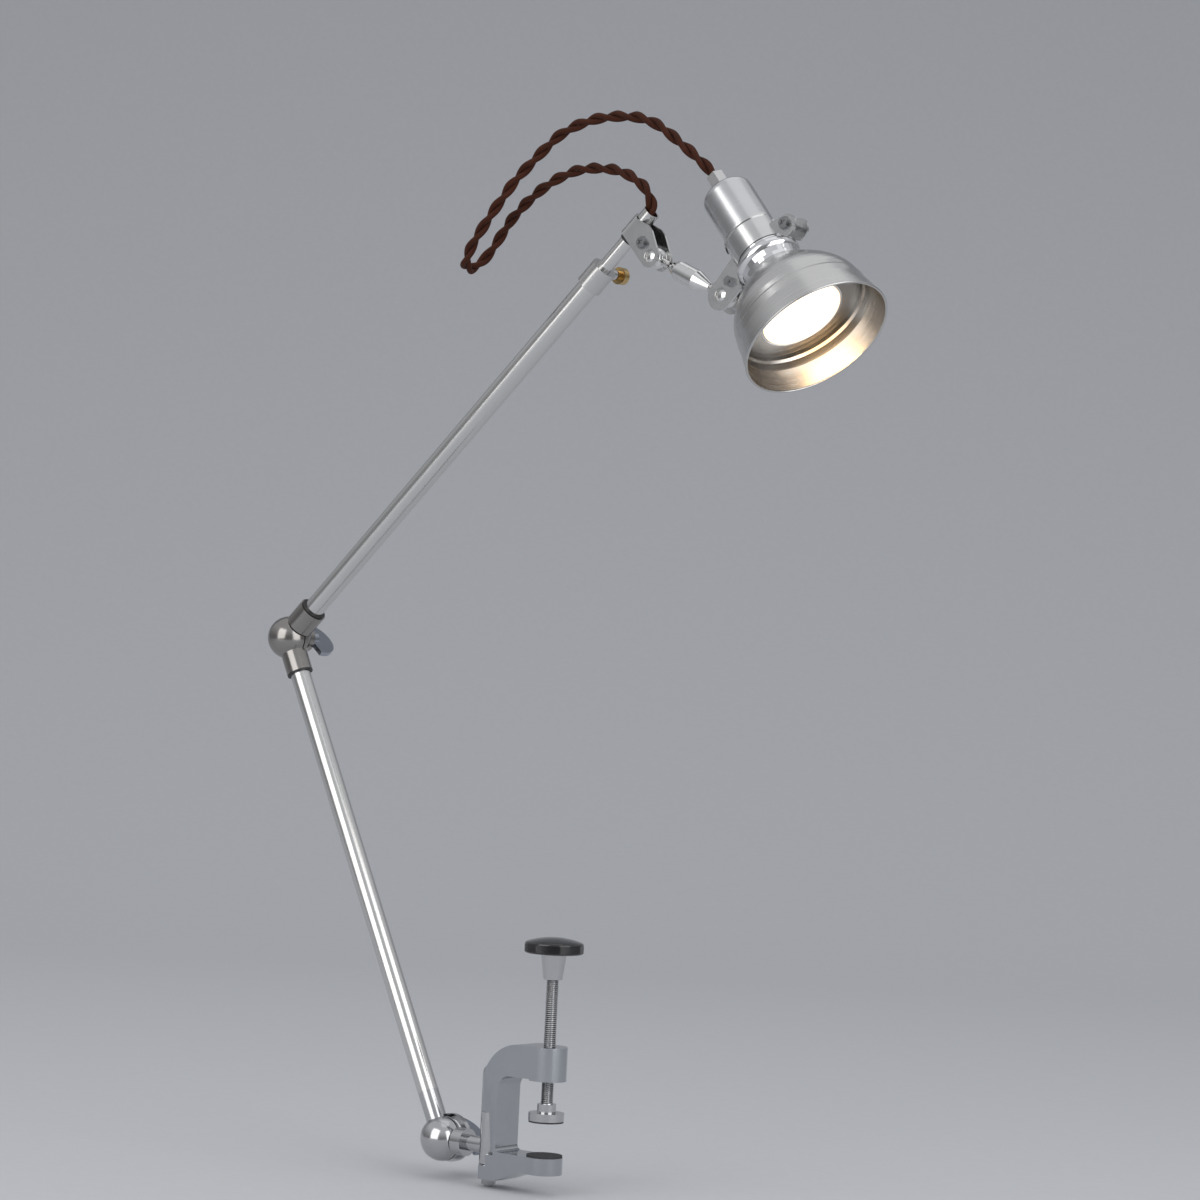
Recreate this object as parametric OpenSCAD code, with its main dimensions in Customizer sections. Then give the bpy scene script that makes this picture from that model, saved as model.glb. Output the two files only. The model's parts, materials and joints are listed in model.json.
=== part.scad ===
// Clamp-on reading lamp: a screw clamp, two jointed tube arms, a ball-jointed link and a spun metal shade.
// The origin is on the lower jaw, under the clamp screw. X runs from the spine to the screw, Z is up.

/* [Clamp] */
// Thickness of the board held in the clamp
board = 24; // [10:0.5:36]
// Screw axis to the inner face of the spine
throat = 36.5; // [30:0.5:60]
// Width of the cast frame
frame_w = 26; // [24:0.5:32]
// Height of the screw block's underside above the jaw
block_z = 54.5; // [52:0.5:80]
// Height of the screw block
block_h = 25; // [20:0.5:32]
// Diameter of the screw block
block_d = 27.2; // [27.2:0.1:36]
// Thickness of the lower jaw at its tip
jaw_h = 12.5; // [10:0.5:18]
// Outer radius of the frame's top bend
bend_r = 34; // [30:0.5:36]
// Diameter of the clamp screw
screw_d = 9.5; // [8:0.1:12]
// Threaded length of the clamp screw above the pad
screw_len = 98; // [90:1:130]
// Diameter of the pressure pad
pad_d = 26.6; // [20:0.2:32]
// Diameter of the knob
knob_d = 43.8; // [36:0.2:52]
// Height of the knob's rim
knob_h = 8.8; // [7:0.2:12]

/* [Swivel] */
// Diameter of the swivel post and barrel
post_d = 16; // [14:0.2:17]
// Diameter of the swivel pin
pin_d = 6; // [5:0.1:8]
// Swivel axis to the base knuckle
swivel_reach = 46.9; // [42:0.1:70]
// Height of the swivel barrel's top
barrel_top = 25.7; // [20:0.1:30]

/* [Knuckles] */
// Diameter of the knuckle balls
ball_d = 34; // [30:0.5:40]
// Gap between a knuckle ball and the collar that turns round it
ball_gap = 1.4; // [0.5:0.1:2]
// Diameter of the knuckle studs
stud_d = 8; // [6:0.1:10]
// Radius of the thumb nuts' half-moon grips
grip_r = 18.5; // [14:0.5:22]
// Thickness of the thumb nuts' grips
grip_t = 3.6; // [2.5:0.1:5]

/* [Arms] */
// Base knuckle to elbow
lower_arm = 418; // [250:1:600]
// Lean of the lower arm from the vertical, in degrees
lower_lean = 26.3; // [10:0.1:60]
// Slope of the upper arm above the horizontal, in degrees
upper_slope = 43.1; // [10:0.1:60]
// Outer diameter of the arm tubes
tube_d = 16; // [15:0.1:17]
// Wall of the arm tubes
tube_wall = 1.2; // [0.8:0.1:1.4]
// Elbow to the top of the slide collar
upper_arm = 412.5; // [300:0.5:600]
// Diameter of the slide collar
collar_d = 20; // [19:0.1:24]
// Length of the slide collar
collar_len = 19; // [16:0.5:26]
// Outer diameter of the extension tube
ext_d = 11; // [10.4:0.1:11.6]
// Wall of the extension tube
ext_wall = 0.9; // [0.6:0.1:1]
// Slide collar to the middle of the strap
ext_out = 39.5; // [28:0.5:160]
// Length of the extension tube that stays inside the arm
ext_inside = 212; // [120:1:240]

/* [Link] */
// Turn of the strap about the extension tube, in degrees
strap_turn = -6; // [-30:1:30]
// Tube axis to the link's lower ball
strap_reach = 31.6; // [30:0.1:45]
// Width of the strap
strap_w = 17; // [16:0.5:20]
// Diameter of the link balls
link_ball_d = 16; // [15:0.1:17]
// Thickness of the strap and the head band
plate_t = 1.8; // [1.5:0.1:2.2]
// Ball to ball length of the link
link_len = 78.3; // [70:0.1:110]
// Diameter of the link barrel
barrel_d = 15; // [12:0.1:17]
// Angle of the link from the extension tube, in degrees
link_angle = 67.7; // [40:0.1:100]

/* [Head] */
// Angle of the head from the extension tube, in degrees
head_angle = 92.2; // [60:0.1:110]
// Head band to the link's upper ball
ball_out = 21.1; // [20:0.1:34]
// Outer diameter of the socket cup
cup_d = 38; // [37:0.1:42]
// Length of the socket cup
cup_len = 65; // [60:0.5:90]
// Height of the head band
band_h = 21; // [18:0.5:24]
// Largest radius of the shade's bell
bell_r = 49.5; // [44:0.1:60]
// Radius of the shade's rim
rim_r = 54.8; // [53:0.1:66]
// Head band to the shade's rim
shade_len = 80.7; // [76:0.1:100]
// Wall of the shade
shade_wall = 1.2; // [0.8:0.1:1.6]
// Diameter of the reflector bulb
bulb_d = 63; // [56:0.5:66]
// Diameter of the twisted cord over both strands
cord_d = 8.6; // [6:0.1:9]

/* [Hidden] */
$fn = 64;
fit = 0.05;
thread_gap = 0.05;
free_gap = 0.4;
over = 1;

// Clamp
jaw_pad_t = 1.5;
jaw_top = -jaw_pad_t;
jaw_bottom = jaw_top - jaw_h;
lug_h = 10;
lug_top = jaw_bottom + 1;
lug_bottom = lug_top - lug_h;
spine_in = -throat;
swivel_x = spine_in - 15.6;
wall_x = spine_in - 9.5;
block_top = block_z + block_h;
arm_under = block_z + 1;
arch_r = 10;
corner_r = 4;
post_dome_z = block_top - 25.5;
bevel_turn = 18;
bevel_tilt = 7.3;
pad_t = 7;
pad_liner_t = 1.2;
pad_collar_d = screw_d + 4.5;
pad_collar_h = 6.4;
pad_top = board + pad_t + pad_collar_h;
screw_tip = board + pad_t - 1;
screw_top = pad_top + screw_len;
hub_z = screw_top - 6.4;
hub_h = 19;
hub_low_d = screw_d + 4.7;
hub_top_d = screw_d + 9.7;
knob_z = hub_z + hub_h;
dome_h = 3.3;

// Swivel and base knuckle
barrel_z = lug_top + 0.4;
barrel_h = barrel_top - barrel_z;
notch_top = barrel_top + 0.4;
pin_top = barrel_top + 12;
pin_nut_h = 5;
pin_nut_d = pin_d + 5.5;
neck_d = 12;
base_x = swivel_x - swivel_reach;

// Knuckles
ball_r = ball_d / 2;
disc_t = 1.2;
disc_d = ball_d - 6;
socket_r = ball_r + ball_gap;
seat_r = 10.5;
seat_y = 19;
washer_t = 1.2;
nut_y = seat_y + washer_t;
nut_hub_d = stud_d + 5;
nut_hub_h = 8;
grip_y = nut_y + 6.8;
grip_cut = 4.6;
grip_angle = 40;
stud_in = 10;
stud_out = nut_y + 6.5;
flange_d = 36.4;
flange_y = tube_d / 2 + 0.6;
flange_t = 4;

// Arms
tube_r = tube_d / 2;
mouth_low = 30.5;
mouth_up = 33.5;
stem_low_d = tube_d + 4.6;
stem_up_d = tube_d + 6.5;
liner_t = 2.6;
liner_out = 1;
tube_seat = 14;
ferrule_end = 37.5;
spigot_len = 14;
liner_d = tube_d + 4.4;
shoulder = 6.5;
bush_len = 15;
thumb_at = upper_arm - 4.2;
thumb_neck_d = 8;
thumb_neck_y = collar_d / 2 + 5.5;
thumb_d = 4;
thumb_head_d = 13;
thumb_head_t = 5.5;
thumb_head_y = thumb_neck_y + 5.5;
strap_at = upper_arm + ext_out;
ext_end = strap_at + 15;
ferrule_d = ext_d + 1.8;
ferrule_from = strap_at + 9.2;
ferrule_to = strap_at + 17.5;

// Link
bush_wall = 0.7;
bush_d = ext_d + 2 * fit + 2 * bush_wall;
gap_half = bush_d / 2 + fit;
plate_out = gap_half + plate_t;
seat_d = 2 * sqrt(pow(link_ball_d / 2, 2) - pow(gap_half - fit, 2));
bush_over = 3;
strap_screw_q = 18.8;
strap_screw_s = 1.4;
m4 = 4;
m4_head_d = 7.6;
m4_head_h = 2.4;
m4_washer_d = 10;
m4_washer_t = 0.8;
m4_nut_d = 8.1;
m4_nut_h = 3.2;
neck_r = 2.8;
barrel_from = 15.5;
barrel_to = 60;
stud_grip = 9;

// Head
cup_r = cup_d / 2;
cup_wall = 1;
cup_round = 6;
cup_low = -1;
cup_top = cup_low - cup_len;
band_in = cup_r + fit;
band_out = band_in + plate_t;
band_low = -1.5;
band_top = band_low - band_h;
lip_h = 1.8;
lip_t = 0.9;
ear_reach = band_out + ball_out;
ear_end_r = 11.4;
ear_back_r = 8;
ear_screw_x = band_out + 9.1;
ear_screw_z = -1.5;
gland_d = 13;
gland_out = 16.4;
gland_in = 5;
ring_low = -0.8;
bead_z = 5.6;
bead_r = 4.8;
bead_at = cup_r + 0.6;
neck_z = 17;
neck_out = cup_r + 3.4;
shade_top = neck_z;
bell_end = 56;
step_out = 1.1;
rim_roll = 0.9;
bulb_r = bulb_d / 2;
bulb_face = 61.5;
glass_t = 1.2;
face_r = bulb_r - 1.4;
face_rise = 4;
cap_r = 13.2;
cap_tip = bulb_face - 102;
cap_len = 25;
holder_r = cup_r - cup_wall - 0.6;
holder_top = cup_top + gland_in + 2;
holder_low = -13;
shell_t = 0.6;

// Cord
cord_sides = 10;
// Points along the middle of the cord, from the extension tube round the loop to the gland
CORD = [
    [53, 0, 690], [57, 0, 695], [58, 0, 701], [56, 0, 707], [52, 0, 713], [45, 1, 719],
    [36, 2, 724], [24, 3, 729], [8, 4, 732], [-11, 5, 733], [-29, 6, 730], [-46, 7, 724], [-61, 8, 716],
    [-74, 10, 708], [-86, 12, 699], [-96, 14, 689], [-104, 14, 679], [-110, 12, 671], [-113, 7, 665],
    [-114, 0, 662], [-112, -7, 663], [-108, -12, 667], [-102, -15, 674], [-96, -16, 682],
    [-89, -15, 692], [-81, -14, 703], [-73, -13, 713], [-63, -13, 724], [-51, -12, 735],
    [-38, -11, 746], [-23, -10, 757], [-5, -9, 764], [14, -9, 767], [33, -8, 767], [52, -8, 764],
    [68, -7, 757], [82, -6, 747], [95, -5, 737], [106, -4, 728], [117, -2, 717]
];
cord_cut_a = 13;
cord_cut_b = 26;

// ---- places ----

module at_base() {
    translate([base_x, 0, 0]) children();
}

module on_lower(t) {
    at_base() rotate([0, -lower_lean, 0]) translate([0, 0, t]) children();
}

module on_upper(t) {
    on_lower(lower_arm) rotate([0, lower_lean + 90 - upper_slope, 0]) translate([0, 0, t]) children();
}

module on_strap() {
    on_upper(strap_at) rotate([0, 0, strap_turn]) children();
}

module on_link() {
    on_strap() translate([strap_reach, 0, 0]) rotate([0, link_angle, 0]) children();
}

// Z runs along the head to the shade's rim, and the link's upper ball is at +X
module on_head() {
    on_link() translate([0, 0, link_len]) rotate([0, head_angle - link_angle, 0])
        translate([-ear_reach, 0, 0]) children();
}

// Turns Z onto +Y
module along_y(y) {
    translate([0, y, 0]) rotate([-90, 0, 0]) children();
}

// ---- shapes that repeat ----

module pipe(outer, inner, h) {
    difference() {
        cylinder(d = outer, h = h);
        translate([0, 0, -over]) cylinder(d = inner, h = h + 2 * over);
    }
}

module hexagon(d, h) {
    cylinder(d = d, h = h, $fn = 6);
}

module half_space(side) {
    size = 200;
    translate([-size / 2, side > 0 ? disc_t / 2 : -size - disc_t / 2, -size / 2]) cube(size);
}

// A stem from a knuckle ball along Z, cut clear of the other half's ball
module knuckle_stem(d, to, clear_side) {
    difference() {
        cylinder(d = d, h = to);
        intersection() {
            sphere(r = socket_r);
            translate([-ball_d, clear_side > 0 ? -disc_t / 2 : -2 * ball_d + disc_t / 2, -ball_d])
                cube(2 * ball_d);
        }
    }
}

module half_ball(side) {
    intersection() {
        sphere(r = ball_r);
        half_space(side);
    }
}

// The far half's seat for the thumb nut
module nut_seat() {
    along_y(disc_t / 2) cylinder(r = seat_r, h = seat_y - disc_t / 2);
}

module friction_disc() {
    along_y(-disc_t / 2) pipe(disc_d, stud_d + 2 * fit, disc_t);
}

module knuckle_stud() {
    along_y(-stud_in) cylinder(d = stud_d, h = stud_in + stud_out);
}

module knuckle_washer() {
    along_y(seat_y) pipe(2 * seat_r - 2, stud_d + 2 * fit, washer_t);
}

module thumb_nut() {
    rotate([0, grip_angle, 0]) difference() {
        union() {
            along_y(nut_y) cylinder(d = nut_hub_d, h = nut_hub_h);
            intersection() {
                translate([0, grip_y, -grip_t / 2]) cylinder(r = grip_r, h = grip_t);
                translate([-grip_r - over, grip_y - grip_cut, -grip_t])
                    cube([2 * grip_r + 2 * over, grip_r + grip_cut + over, 2 * grip_t]);
            }
        }
        along_y(nut_y - over) cylinder(d = stud_d + 2 * thread_gap, h = stud_out - nut_y + 2 * over);
    }
}

module stud_bore(from, to) {
    along_y(from) cylinder(d = stud_d + 2 * fit, h = to - from);
}

module mouth_liner() {
    pipe(liner_d, tube_d + 2 * fit, liner_t + liner_out);
}

module screw_with_head(reach) {
    cylinder(d = m4, h = reach);
    translate([0, 0, -m4_washer_t]) cylinder(d = m4_washer_d, h = m4_washer_t);
    translate([0, 0, -m4_washer_t - m4_head_h]) difference() {
        cylinder(d = m4_head_d, h = m4_head_h);
        for (a = [0, 90])
            rotate([0, 0, a]) translate([-2.2, -0.45, -over]) cube([4.4, 0.9, over + 1.2]);
    }
}

module nut_m4() {
    difference() {
        hexagon(m4_nut_d, m4_nut_h);
        translate([0, 0, -over]) cylinder(d = m4 + 2 * thread_gap, h = m4_nut_h + 2 * over);
    }
}

// ---- clamp ----

module frame_outline() {
    bend_x = swivel_x + bend_r;
    bend_z = block_top - bend_r;
    difference() {
        union() {
            translate([bend_x, bend_z]) intersection() {
                circle(r = bend_r, $fn = 96);
                translate([-bend_r, 0]) square(bend_r);
            }
            translate([bend_x - over, bend_z]) square([over - bend_x, bend_r]);
            translate([swivel_x, jaw_top]) square([-swivel_x, bend_z - jaw_top]);
            polygon([
                [swivel_x, jaw_top], [swivel_x, lug_bottom], [spine_in, lug_bottom],
                [spine_in / 3, jaw_bottom], [0, jaw_bottom], [0, jaw_top]
            ]);
        }
        frame_opening();
    }
}

module frame_opening() {
    width = throat + block_d;
    translate([spine_in + arch_r, jaw_top]) square([width, arm_under - jaw_top]);
    translate([spine_in, jaw_top + corner_r])
        square([arch_r + over, arm_under - jaw_top - corner_r - arch_r]);
    translate([spine_in + corner_r, jaw_top]) square([arch_r, corner_r + over]);
    translate([spine_in + arch_r, arm_under - arch_r]) circle(r = arch_r);
    translate([spine_in + corner_r, jaw_top + corner_r]) circle(r = corner_r);
}

// The cut that narrows the spine's back from its sides towards the swivel
module spine_bevel() {
    reach = 40;
    translate([spine_in - 1.3, -frame_w / 2, barrel_top]) rotate([bevel_tilt, 0, -bevel_turn])
        translate([-reach, -reach, -barrel_top - 4]) cube([reach - 1, reach, barrel_top + 36]);
}

module clamp_frame() {
    color("lightslategray") difference() {
        union() {
            difference() {
                rotate([90, 0, 0]) linear_extrude(frame_w, center = true) frame_outline();
                spine_bevel();
                mirror([0, 1, 0]) spine_bevel();
            }
            translate([0, 0, block_z]) cylinder(d = block_d, h = block_h);
            translate([-7, -block_d / 2, block_z]) cube([7, block_d, block_h]);
            translate([0, 0, jaw_bottom]) cylinder(d = block_d, h = jaw_h);
            translate([swivel_x, 0, notch_top]) cylinder(d = post_d, h = post_dome_z - notch_top);
            translate([swivel_x, 0, post_dome_z]) sphere(d = post_d);
            translate([swivel_x, 0, lug_bottom]) cylinder(d = post_d, h = lug_h);
        }
        translate([swivel_x - post_d, -frame_w, lug_top])
            cube([wall_x - swivel_x + post_d, 2 * frame_w, notch_top - lug_top]);
        translate([swivel_x, 0, lug_top]) cylinder(d = post_d + 2 * free_gap, h = notch_top - lug_top);
        translate([swivel_x, 0, lug_bottom - over])
            cylinder(d = pin_d + 2 * fit, h = pin_top - lug_bottom + over);
        translate([0, 0, block_z - over])
            cylinder(d = screw_d + 2 * thread_gap, h = block_h + 2 * over);
    }
}

module jaw_pad() {
    color("dimgray") translate([0, 0, jaw_top]) cylinder(d = pad_d, h = jaw_pad_t);
}

module clamp_screw() {
    color("silver") translate([0, 0, screw_tip]) cylinder(d = screw_d, h = hub_z + hub_h - 4 - screw_tip);
}

module knob_hub() {
    color("gainsboro") difference() {
        translate([0, 0, hub_z]) cylinder(d1 = hub_low_d, d2 = hub_top_d, h = hub_h);
        translate([0, 0, hub_z - over]) cylinder(d = screw_d + 2 * fit, h = hub_h - 4 + over);
    }
}

module clamp_knob() {
    edge = 0.8;
    dome_r = (pow(knob_d / 2 - edge, 2) + pow(dome_h, 2)) / (2 * dome_h);
    color("black") translate([0, 0, knob_z]) {
        rotate_extrude() polygon([
            [0, 0], [knob_d / 2 - edge, 0], [knob_d / 2, edge],
            [knob_d / 2, knob_h - edge], [knob_d / 2 - edge, knob_h], [0, knob_h]
        ]);
        intersection() {
            translate([0, 0, knob_h + dome_h - dome_r]) sphere(r = dome_r, $fn = 128);
            translate([0, 0, knob_h - 0.5]) cylinder(d = knob_d - 2 * edge, h = dome_h + 1);
        }
    }
}

module pressure_pad() {
    color("silver") difference() {
        union() {
            translate([0, 0, board + pad_liner_t]) cylinder(d = pad_d, h = pad_t - pad_liner_t);
            translate([0, 0, board + pad_t]) cylinder(d = pad_collar_d, h = pad_collar_h);
        }
        translate([0, 0, screw_tip - 0.1]) cylinder(d = screw_d + 2 * fit, h = pad_collar_h + pad_t);
    }
}

module pressure_pad_liner() {
    color("dimgray") translate([0, 0, board]) cylinder(d = pad_d - 0.6, h = pad_liner_t);
}

// ---- swivel and base knuckle ----

module swivel_pin() {
    color("silver") translate([swivel_x, 0, lug_bottom - pin_nut_h - 1.5])
        cylinder(d = pin_d, h = pin_top - over - lug_bottom + pin_nut_h + 1.5);
}

module swivel_pin_nut() {
    color("silver") translate([swivel_x, 0, lug_bottom - pin_nut_h]) difference() {
        hexagon(pin_nut_d, pin_nut_h);
        translate([0, 0, -over]) cylinder(d = pin_d + 2 * thread_gap, h = pin_nut_h + 2 * over);
    }
}

module base_knuckle_swivel_half() {
    neck_len = swivel_reach - ball_r - 8;
    color("gainsboro") difference() {
        union() {
            translate([swivel_x, 0, barrel_z]) cylinder(d = post_d, h = barrel_h);
            translate([swivel_x, 0, 0]) rotate([0, -90, 0]) cylinder(d = neck_d, h = neck_len);
            at_base() {
                rotate([0, 90, 0]) knuckle_stem(stem_low_d, ball_r + 8, -1);
                half_ball(1);
                nut_seat();
                along_y(flange_y) cylinder(d = flange_d, h = flange_t);
            }
        }
        translate([swivel_x, 0, barrel_z - over]) cylinder(d = pin_d + 2 * fit, h = barrel_h + 2 * over);
        at_base() stud_bore(-over, seat_y + over);
    }
}

module base_friction_disc() {
    color("dimgray") at_base() friction_disc();
}

module base_knuckle_arm_half() {
    color("silver") difference() {
        union() {
            on_lower(0) knuckle_stem(tube_d, ferrule_end, 1);
            at_base() half_ball(-1);
            on_lower(ferrule_end) cylinder(d = tube_d - 2 * tube_wall - 2 * fit, h = spigot_len);
        }
        at_base() stud_bore(-stud_in - 0.1, over);
    }
}

module base_stud() {
    color("silver") at_base() knuckle_stud();
}

module base_washer() {
    color("silver") at_base() knuckle_washer();
}

module base_thumb_nut() {
    color("slategray") at_base() thumb_nut();
}

// ---- lower arm and elbow ----

module lower_tube() {
    color("silver") on_lower(ferrule_end)
        pipe(tube_d, tube_d - 2 * tube_wall, lower_arm - mouth_low + tube_seat - ferrule_end);
}

module elbow_lower_half() {
    color("dimgray") difference() {
        union() {
            on_lower(lower_arm) rotate([0, 180, 0]) knuckle_stem(stem_low_d, mouth_low, 1);
            on_lower(lower_arm) half_ball(-1);
        }
        on_lower(lower_arm - mouth_low - over) cylinder(d = tube_d + 2 * fit, h = tube_seat + over);
        on_lower(lower_arm - mouth_low - over) cylinder(d = liner_d, h = liner_t + over);
        on_lower(lower_arm) stud_bore(-stud_in - 0.1, over);
    }
}

module lower_mouth_liner() {
    color("black") on_lower(lower_arm - mouth_low - liner_out) mouth_liner();
}

module elbow_friction_disc() {
    color("black") on_lower(lower_arm) friction_disc();
}

module elbow_stud() {
    color("silver") on_lower(lower_arm) knuckle_stud();
}

module elbow_washer() {
    color("silver") on_lower(lower_arm) knuckle_washer();
}

module elbow_thumb_nut() {
    color("slategray") on_lower(lower_arm) rotate([0, lower_lean, 0]) thumb_nut();
}

module elbow_upper_half() {
    color("dimgray") difference() {
        union() {
            on_upper(0) knuckle_stem(stem_up_d, mouth_up, -1);
            on_upper(0) half_ball(1);
            on_upper(0) nut_seat();
        }
        on_upper(mouth_up - tube_seat) cylinder(d = tube_d + 2 * fit, h = tube_seat + over);
        on_upper(mouth_up - liner_t) cylinder(d = liner_d, h = liner_t + over);
        on_upper(0) stud_bore(-over, seat_y + over);
    }
}

module upper_mouth_liner() {
    color("black") on_upper(mouth_up - liner_t) mouth_liner();
}

// ---- upper arm and extension ----

module upper_tube() {
    from = mouth_up - tube_seat;
    color("silver") on_upper(from)
        pipe(tube_d, tube_d - 2 * tube_wall, upper_arm - shoulder - from);
}

module slide_collar() {
    color("gainsboro") difference() {
        union() {
            on_upper(upper_arm - collar_len) cylinder(d = collar_d, h = collar_len);
            on_upper(thumb_at) along_y(0) cylinder(d = thumb_neck_d, h = thumb_neck_y);
        }
        on_upper(upper_arm - collar_len - over)
            cylinder(d = tube_d + 2 * fit, h = collar_len - shoulder + over);
        on_upper(upper_arm - shoulder - over)
            cylinder(d = ext_d + 2 * fit, h = shoulder + 2 * over);
        on_upper(thumb_at) along_y(0) cylinder(d = thumb_d + 2 * thread_gap, h = thumb_neck_y + over);
    }
}

module extension_thumb_screw() {
    from = ext_d / 2 + 0.1;
    color("goldenrod") on_upper(thumb_at) {
        along_y(from) cylinder(d = thumb_d, h = thumb_head_y - from);
        along_y(thumb_head_y - 3.5) cylinder(d = thumb_neck_d - 1, h = 3.6);
        along_y(thumb_head_y) cylinder(d = thumb_head_d, h = thumb_head_t);
    }
}

module extension_tube() {
    color("silver") on_upper(upper_arm - ext_inside)
        pipe(ext_d, ext_d - 2 * ext_wall, ext_end - upper_arm + ext_inside);
}

module slide_bush() {
    color("white") on_upper(upper_arm - ext_inside)
        pipe(tube_d - 2 * tube_wall - 2 * fit, ext_d + 2 * fit, bush_len);
}

module extension_ferrule() {
    color("gainsboro") difference() {
        on_upper(ferrule_from) cylinder(d = ferrule_d, h = ferrule_to - ferrule_from);
        on_upper(ferrule_from - over) cylinder(d = ext_d + 2 * fit, h = ext_end - ferrule_from + over);
        on_upper(ferrule_from) cylinder(d = cord_d + 1.6, h = ferrule_to - ferrule_from + over);
    }
}

// ---- strap ----

module strap_bush() {
    len = strap_w + bush_over;
    color("black") on_upper(strap_at - strap_w / 2 - bush_over) pipe(bush_d, ext_d + 2 * fit, len);
}

module strap_outline() {
    half = strap_w / 2;
    polygon([
        [0, -half], [0, half], [strap_reach * 0.38, half + 4.5], [strap_reach * 0.56, half + 4.5],
        [strap_reach, half], [strap_reach, -half]
    ]);
    translate([strap_reach, 0]) circle(r = half);
}

module strap_clevis() {
    color("silver") on_strap() difference() {
        union() {
            translate([0, 0, -strap_w / 2]) cylinder(r = plate_out, h = strap_w);
            rotate([90, 0, 0]) linear_extrude(2 * plate_out, center = true) strap_outline();
        }
        translate([0, 0, -strap_w]) cylinder(r = gap_half, h = 2 * strap_w);
        translate([0, -gap_half, -strap_w]) cube([2 * strap_reach, 2 * gap_half, 2 * strap_w]);
        translate([strap_reach, 0, 0]) along_y(-strap_w) cylinder(d = seat_d, h = 2 * strap_w);
        translate([strap_screw_q, 0, strap_screw_s]) along_y(-strap_w)
            cylinder(d = m4 + 2 * fit, h = 2 * strap_w);
    }
}

module strap_screw() {
    color("gainsboro") on_strap() translate([strap_screw_q, 0, strap_screw_s]) along_y(-plate_out)
        screw_with_head(2 * plate_out + m4_nut_h + 0.8);
}

module strap_screw_nut() {
    color("gainsboro") on_strap() translate([strap_screw_q, 0, strap_screw_s]) along_y(plate_out) nut_m4();
}

// ---- link ----

module ball_stud(reach) {
    sphere(d = link_ball_d);
    cylinder(r = neck_r, h = reach);
}

module link_lower_ball_stud() {
    color("gainsboro") on_link() ball_stud(barrel_from + stud_grip);
}

module link_barrel() {
    body_from = barrel_from + 10;
    body_to = link_len - 32.8;
    color("silver") on_link() difference() {
        rotate_extrude() polygon([
            [0, barrel_from], [neck_r + 0.5, barrel_from], [4.9, barrel_from + 5],
            [barrel_d / 2 - 0.6, body_from - 0.8], [barrel_d / 2, body_from + 1.2],
            [barrel_d / 2, body_to], [neck_r + 0.5, link_len - 18.3], [0, link_len - 18.3]
        ]);
        translate([0, 0, barrel_from - over]) cylinder(r = neck_r + fit, h = stud_grip + over + 0.1);
        translate([0, 0, link_len - 18.3 - stud_grip - 0.1])
            cylinder(r = neck_r + fit, h = stud_grip + over + 0.1);
    }
}

module link_upper_ball_stud() {
    color("gainsboro") on_link() translate([0, 0, link_len]) rotate([180, 0, 0])
        ball_stud(18.3 + stud_grip);
}

// ---- head ----

module ear_outline() {
    // X runs out from the head's axis and Y towards the shade
    polygon([
        [0, band_top + 4], [band_out + 3.2, band_top + 8.5], [ear_reach - 3, -ear_end_r + 0.3], [ear_reach, 0],
        [ear_reach - 2, ear_end_r - 0.2], [band_out + 5.2, 9.4], [band_out, band_low - 0.4], [0, band_low - 0.4]
    ]);
    translate([ear_reach, 0]) circle(r = ear_end_r);
    translate([-ear_screw_x, ear_screw_z + 1.5]) circle(r = ear_back_r);
    polygon([
        [0, band_top + 7], [-band_out - 3.2, band_top + 12], [-ear_screw_x, ear_screw_z + 1.5 - ear_back_r],
        [-ear_screw_x, ear_screw_z + 1.5 + ear_back_r], [-band_out - 5, ear_screw_z + 1.5 + ear_back_r],
        [-band_out, band_low - 0.4], [0, band_low - 0.4]
    ]);
}

module band_half(side) {
    flip = side > 0 ? 0 : 1;
    mirror([0, flip, 0]) difference() {
        union() {
            translate([0, 0, band_top]) cylinder(r = band_out, h = band_h);
            translate([0, 0, band_top]) cylinder(r = band_out + lip_t, h = lip_h);
            translate([0, plate_out, 0]) rotate([90, 0, 0]) linear_extrude(plate_t) ear_outline();
        }
        translate([0, 0, band_top - over]) cylinder(r = band_in, h = 2 * band_h);
        translate([-2 * ear_reach, -ear_reach, -2 * ear_reach])
            cube([4 * ear_reach, ear_reach + gap_half, 4 * ear_reach]);
        translate([ear_reach, 0, 0]) along_y(0) cylinder(d = seat_d, h = 2 * plate_out);
        for (x = [ear_screw_x, -ear_screw_x])
            translate([x, 0, ear_screw_z]) along_y(0) cylinder(d = m4 + 2 * fit, h = 2 * plate_out);
    }
}

module head_band_near_half() {
    color("silver") on_head() band_half(-1);
}

module head_band_far_half() {
    color("silver") on_head() band_half(1);
}

module head_band_screws() {
    reach = 2 * plate_out + m4_nut_h + 0.8;
    color("gainsboro") on_head() {
        translate([-ear_screw_x, 0, ear_screw_z]) along_y(-plate_out) screw_with_head(reach);
        translate([ear_screw_x, 0, ear_screw_z]) rotate([0, 0, 180]) along_y(-plate_out)
            screw_with_head(reach);
    }
}

module head_band_nuts() {
    color("gainsboro") on_head() {
        translate([-ear_screw_x, 0, ear_screw_z]) along_y(plate_out) nut_m4();
        translate([ear_screw_x, 0, ear_screw_z]) rotate([0, 0, 180]) along_y(plate_out) nut_m4();
    }
}

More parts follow.
